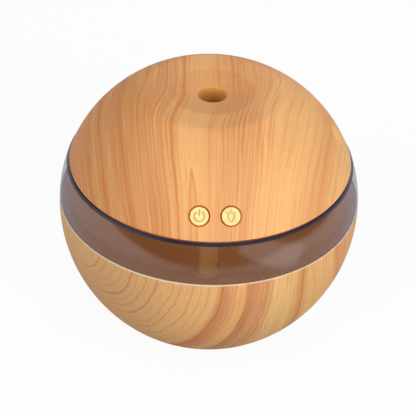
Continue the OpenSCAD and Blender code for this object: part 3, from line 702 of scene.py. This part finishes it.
repaint("mist_chimney", moulded("chimney_plastic", tone(212, 150, 80), tone(196, 134, 68)))
repaint("lid_tray", moulded("tray_plastic", tone(176, 128, 86), tone(156, 108, 70)))


# ---- The gasket ----
# A soft brown silicone ring, pushed over the tray's plug, that seals the lid's edge on the tank's rim.
# It was cast in one piece with its lip, which reaches down inside the tank's mouth.

repaint("lid_gasket", moulded("gasket_silicone", tone(150, 88, 46), tone(124, 70, 36), 0.6, 700.0))


# ---- The screws ----
# Small cross-head screws of zinc-plated steel, which cut their own thread in the plastic bosses.
# They are driven from below or behind into the lid, and from above into the tray's posts.


def plated(name, colour, roughness=0.3, metallic=1.0):
    """A metal finish with faint drawn scratches."""
    material, shader, place = finish(name, Metallic=metallic)
    stretched = place.node("Mapping", {}, {"Vector": place, "Scale": (1.0, 1.0, 0.08)})
    scratch = place.node("TexNoise", {}, {"Vector": stretched, "Scale": 2600.0, "Detail": 3.0})
    tree = shader.id_data
    brighter = tuple(min(1, c * 1.18) for c in colour)
    feed(tree, shader.inputs["Base Color"], scratch.tint(colour, brighter))
    feed(tree, shader.inputs["Roughness"], scratch * 0.2 + (roughness - 0.1))
    return material


zinc = plated("screw_zinc", tone(196, 196, 198))
for node in ("cover_screws", "holder_screws", "board_screws", "switch_board_screws"):
    repaint(node, zinc)


# ---- The atomiser ----
# A plated ceramic disc in a soft white ring, held by a moulded cup under the chimney.
# The cup is screwed up into the lid. Two red leads bring the disc the current that makes it shake.

repaint("atomizer_disc", plated("disc_plating", tone(214, 196, 150), 0.35))
repaint("atomizer_ring", moulded("ring_silicone", tone(236, 234, 226), tone(222, 219, 210), 0.6, 800.0))
repaint("atomizer_holder", moulded("holder_plastic", tone(218, 182, 138), tone(200, 160, 116)))
repaint("atomizer_leads", moulded("lead_red", tone(176, 34, 26), tone(150, 24, 20), 0.5, 600.0))


# ---- The control board ----
# A round green laminate board, screwed to four posts of the tray. It has the parts that drive the disc
# soldered to it, and four lights that shine down into the tank through clear caps.

laminate, shader, place = finish("board_laminate", Roughness=0.4, IOR=1.5, Coat_Weight=0.3)
tree = shader.id_data
cells = place.node("TexVoronoi", {"feature": "DISTANCE_TO_EDGE"},
                   {"Vector": place, "Scale": 260.0}, "Distance")
weave = place.node("TexNoise", {}, {"Vector": place, "Scale": 1800.0, "Detail": 1.0})
colour = weave.tint(tone(14, 82, 44), tone(24, 104, 58))
feed(tree, shader.inputs["Base Color"], cells.rise(0.10, 0.04).tint(colour, tone(44, 134, 82)))
repaint("control_board", laminate)
repaint("switch_board", laminate)
repaint("driver_chip", moulded("chip_resin", tone(38, 38, 40), tone(26, 26, 28), 0.5, 2200.0))
repaint("boost_coil", moulded("coil_ferrite", tone(86, 78, 74), tone(62, 58, 56), 0.5, 1500.0))
repaint("capacitors", plated("capacitor_can", tone(150, 156, 170), 0.35, 0.7))
repaint("wire_sockets", moulded("socket_nylon", tone(238, 230, 206), tone(224, 214, 186)))
repaint("power_socket", plated("socket_steel", tone(188, 188, 192), 0.28))
repaint("lights", moulded("light_resin", tone(240, 240, 232), tone(226, 226, 216), 0.15, 400.0))

lens, shader, place = finish("lens_clear", Roughness=0.3, IOR=1.49, Alpha=0.55)
frost = place.node("TexNoise", {}, {"Vector": place, "Scale": 900.0, "Detail": 2.0})
feed(shader.id_data, shader.inputs["Base Color"], frost.tint(tone(226, 228, 234), tone(242, 243, 246)))
repaint("light_lenses", lens)


# ---- The switches ----
# Two push switches on a narrow board behind the lid's front, each with a plunger under its button.
# Three grey leads run from it to the control board.

repaint("switch_bodies", moulded("switch_plastic", tone(42, 42, 44), tone(30, 30, 32)))
plunger_black = moulded("plunger_plastic", tone(58, 58, 60), tone(44, 44, 46), 0.4)
repaint("power_plunger", plunger_black)
repaint("light_plunger", plunger_black)
repaint("button_leads", moulded("lead_grey", tone(120, 120, 124), tone(96, 96, 100), 0.5, 600.0))


# ---- The buttons ----
# Two round cream-gold caps that slide in sleeves in the lid. Each is a moulding with a bevelled edge
# and a sign cut into its face: a power sign on the left, a light bulb on the right.

button_r = 3.7
proud = 0.3
flange_r, flange_base, flange_top = 4.65, -4.8, -4.1
nub_r, nub_end = 1.2, -5.2
sign_depth = 0.16

cream, shader, place = finish("button_cream", Metallic=0.0, IOR=1.5, Coat_Weight=0.25, Coat_Roughness=0.2)
tree = shader.id_data
fleck = place.node("TexNoise", {}, {"Vector": place, "Scale": 1500.0, "Detail": 3.0})
broad = place.node("TexNoise", {}, {"Vector": place, "Scale": 320.0, "Detail": 1.0})
colour = fleck.tint(tone(240, 214, 140), tone(252, 234, 174))
colour = (broad.rise(0.45, 0.65) * 0.5).tint(colour, tone(236, 202, 118))
up, away = from_button(place)
sunk = up.rise(proud - 0.04, proud - 0.10) * away.rise(8.8, 8.4)
colour = sunk.tint(colour, tone(214, 164, 78))
# Painted bounce light: the cap's outer bevel and side are tinted orange, as if lit by the wooden walls of its
# hole.
colour = away.rise(11.0, 12.4).tint(colour, tone(232, 168, 70))
feed(tree, shader.inputs["Base Color"], colour)
feed(tree, shader.inputs["Roughness"], fleck * 0.25 + 0.22)
feed(tree, shader.inputs["Normal"], bumpy(place, fleck, 0.15, 0.05 * MM))


def bar(name, x, y, length, width, turn=0.0):
    """A straight cutter with round ends, lying on the button's face."""
    shape = bmesh.new()
    ends = []
    for side_x, first in ((length / 2, -pi / 2), (-length / 2, pi / 2)):
        for k in range(9):
            a = first + pi * k / 8
            ends.append((side_x + width / 2 * cos(a), width / 2 * sin(a)))
    top = [shape.verts.new((px, py, 1.0)) for px, py in ends]
    low = [shape.verts.new((px, py, -sign_depth)) for px, py in ends]
    shape.faces.new(top)
    shape.faces.new(low[::-1])
    for k in range(len(top)):
        n = (k + 1) % len(top)
        shape.faces.new((top[k], low[k], low[n], top[n]))
    made = piece_of(name, shape)
    made.data.transform(Matrix.Translation((x, y, 0)) @ Matrix.Rotation(turn, 4, "Z"))
    return made


def ring_cut(radius, width, first, last, y=0.0, count=36):
    """A cutter that follows part of a circle round the point at y on the button's face."""
    shape = bmesh.new()
    rows = []
    near, far = radius - width / 2, radius + width / 2
    corners = ((near, 1.0), (far, 1.0), (far, -sign_depth), (near, -sign_depth))
    for k in range(count + 1):
        a = first + (last - first) * k / count
        rows.append([shape.verts.new((r * cos(a), y + r * sin(a), z)) for r, z in corners])
    for low, high in zip(rows, rows[1:]):
        for k in range(4):
            n = (k + 1) % 4
            shape.faces.new((low[k], low[n], high[n], high[k]))
    shape.faces.new(rows[0][::-1])
    shape.faces.new(rows[-1])
    return piece_of("ring_cut", shape)


def cap(name, cuts, x, node):
    """A button: the cap with its bevelled edge, its flange and the nub that presses the switch."""
    outline = [(0, nub_end), (nub_r, nub_end), (nub_r, flange_base), (flange_r, flange_base),
               (flange_r, flange_top), (button_r, flange_top)]
    bevel = ((0.0, 0.35), (0.07, 0.17), (0.2, 0.06), (0.38, 0.01), (0.6, 0.0))
    outline += [(button_r - inward, proud - down) for inward, down in bevel] + [(0, proud)]
    made = lathe(name, outline, 72)
    for cutter in cuts:
        cutter.data.transform(Matrix.Translation((0, 0, proud)))
        cutter.data.transform(Matrix.Scale(MM, 4))
    cut_away(made, cuts)
    dress(on_dome(made, x), cream, node, node)


power_sign = [ring_cut(1.95, 0.5, radians(126), radians(414)), bar("stem", 0, 1.35, 2.0, 0.5, pi / 2)]
cap("power_cap", power_sign, -button_x, "power_button")
glass_y = 0.35
bulb = [ring_cut(1.3, 0.42, radians(-28), radians(208), glass_y)]
bulb += [bar("flank", hand * 0.79, -1.06, 1.5, 0.42, hand * radians(66)) for hand in (-1, 1)]
bulb += [bar("base", 0, -2.1, 0.6, 0.42)]
bulb += [bar("ray", 2.15 * cos(a), glass_y + 2.15 * sin(a), 0.5, 0.34, a)
         for a in (radians(35), radians(90), radians(145))]
cap("light_cap", bulb, button_x, "light_button")


# ---- The wick and its tube ----
# A beige moulded tube with two water slots hangs from the tray. A cap with an arm up each slot ends it, and
# the arms are painted near-black and brown as painted shade in the slots.
# A white felt stick stands in it and carries the water up to the disc.

repaint("wick_tube", moulded("tube_plastic", tone(252, 202, 138), tone(244, 190, 124), 0.4))

flange_top_z, slot_shade_top_z = 15.8, 20.2
cap_plastic, shader, place = finish("cap_plastic", Roughness=0.4, IOR=1.5)
height = place.parts()[2] / MM
fleck = place.node("TexNoise", {}, {"Vector": place, "Scale": 1400.0, "Detail": 2.0})
# Painted shade in the slot: the arm is near-black over its lower part and brown above it; only the flange
# keeps the tube's beige.
dark = height.rise(flange_top_z - 0.05, flange_top_z + 0.05) * height.rise(slot_shade_top_z + 0.1, slot_shade_top_z - 0.1)
colour = fleck.tint(tone(226, 178, 122), tone(240, 194, 134))
colour = height.rise(flange_top_z, flange_top_z + 0.2).tint(colour, tone(176, 128, 84))
feed(shader.id_data, shader.inputs["Base Color"], dark.tint(colour, tone(6, 5, 10)))
repaint("tube_cap", cap_plastic)

felt, shader, place = finish("wick_fibre", Roughness=0.95, Sheen_Weight=0.2)
tree = shader.id_data
stretched = place.node("Mapping", {}, {"Vector": place, "Scale": (1.0, 1.0, 0.12)})
hair = place.node("TexNoise", {}, {"Vector": stretched, "Scale": 2400.0, "Detail": 3.0})
feed(tree, shader.inputs["Base Color"], hair.tint(tone(214, 208, 194), tone(244, 242, 234)))
feed(tree, shader.inputs["Normal"], bumpy(place, hair, 0.4, 0.1 * MM))
repaint("wick", felt)


# ---- The spring under the wick ----
# A coil of steel wire that stands on the cap's plug and keeps the wick against the disc.
# Its last turns are wound closer, and it shortens as the wick is pressed down.

steel = plated("spring_steel", tone(190, 190, 194), 0.25)
coil_low, coil_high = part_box("wick_spring")
wire_r = 0.3 * MM
coil_sizes = {"Wire radius": wire_r, "Coil radius": coil_high.x - wire_r, "Foot": coil_low.z + wire_r,
              "Height": coil_high.z - coil_low.z - 2 * wire_r, "Turns": 5.0, "Closing": 0.45}
coil_rule = bpy.data.node_groups.new("coil_rule", "GeometryNodeTree")
for label in coil_sizes:
    coil_rule.interface.new_socket(label, in_out="INPUT", socket_type="NodeSocketFloat")
coil_rule.interface.new_socket("Coil", in_out="OUTPUT", socket_type="NodeSocketGeometry")
size = {given.name: Signal(coil_rule, given) for given in coil_rule.nodes.new("NodeGroupInput").outputs}
turns = size["Turns"]
path = turns.node("GeometryNodeCurveSpiral", {}, {
    "Resolution": 28, "Rotations": turns, "Height": 1.0,
    "Start Radius": size["Coil radius"], "End Radius": size["Coil radius"]})
x, y, share = turns.node("GeometryNodeInputPosition").parts()
closed_in = share - size["Closing"] / tau * turns.math("SINE", share * tau)
level = size["Foot"] + size["Height"] * closed_in
raised = turns.node("CombineXYZ", {}, {"X": x, "Y": y, "Z": level})
path = turns.node("GeometryNodeSetPosition", {}, {"Geometry": path, "Position": raised})
wire = turns.node("GeometryNodeCurvePrimitiveCircle", {}, {"Resolution": 12, "Radius": size["Wire radius"]})
made = turns.node("GeometryNodeCurveToMesh", {}, {"Curve": path, "Profile Curve": wire, "Fill Caps": True})
made = turns.node("GeometryNodeRealizeInstances", {}, {"Geometry": made})
made = turns.node("GeometryNodeSetMaterial", {}, {"Geometry": made, "Material": steel})
feed(coil_rule, coil_rule.nodes.new("NodeGroupOutput").inputs["Coil"], made)

coil = bpy.data.objects.new("wick_coil", bpy.data.meshes.new("wick_coil"))
scene.collection.objects.link(coil)
step = coil.modifiers.new("coil", "NODES")
step.node_group = coil_rule
for socket in coil_rule.interface.items_tree:
    if socket.name in coil_sizes:
        step[socket.identifier] = coil_sizes[socket.name]
settle(coil)
dress(coil, steel, "wick_tube", "wick_spring")
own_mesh(coil)
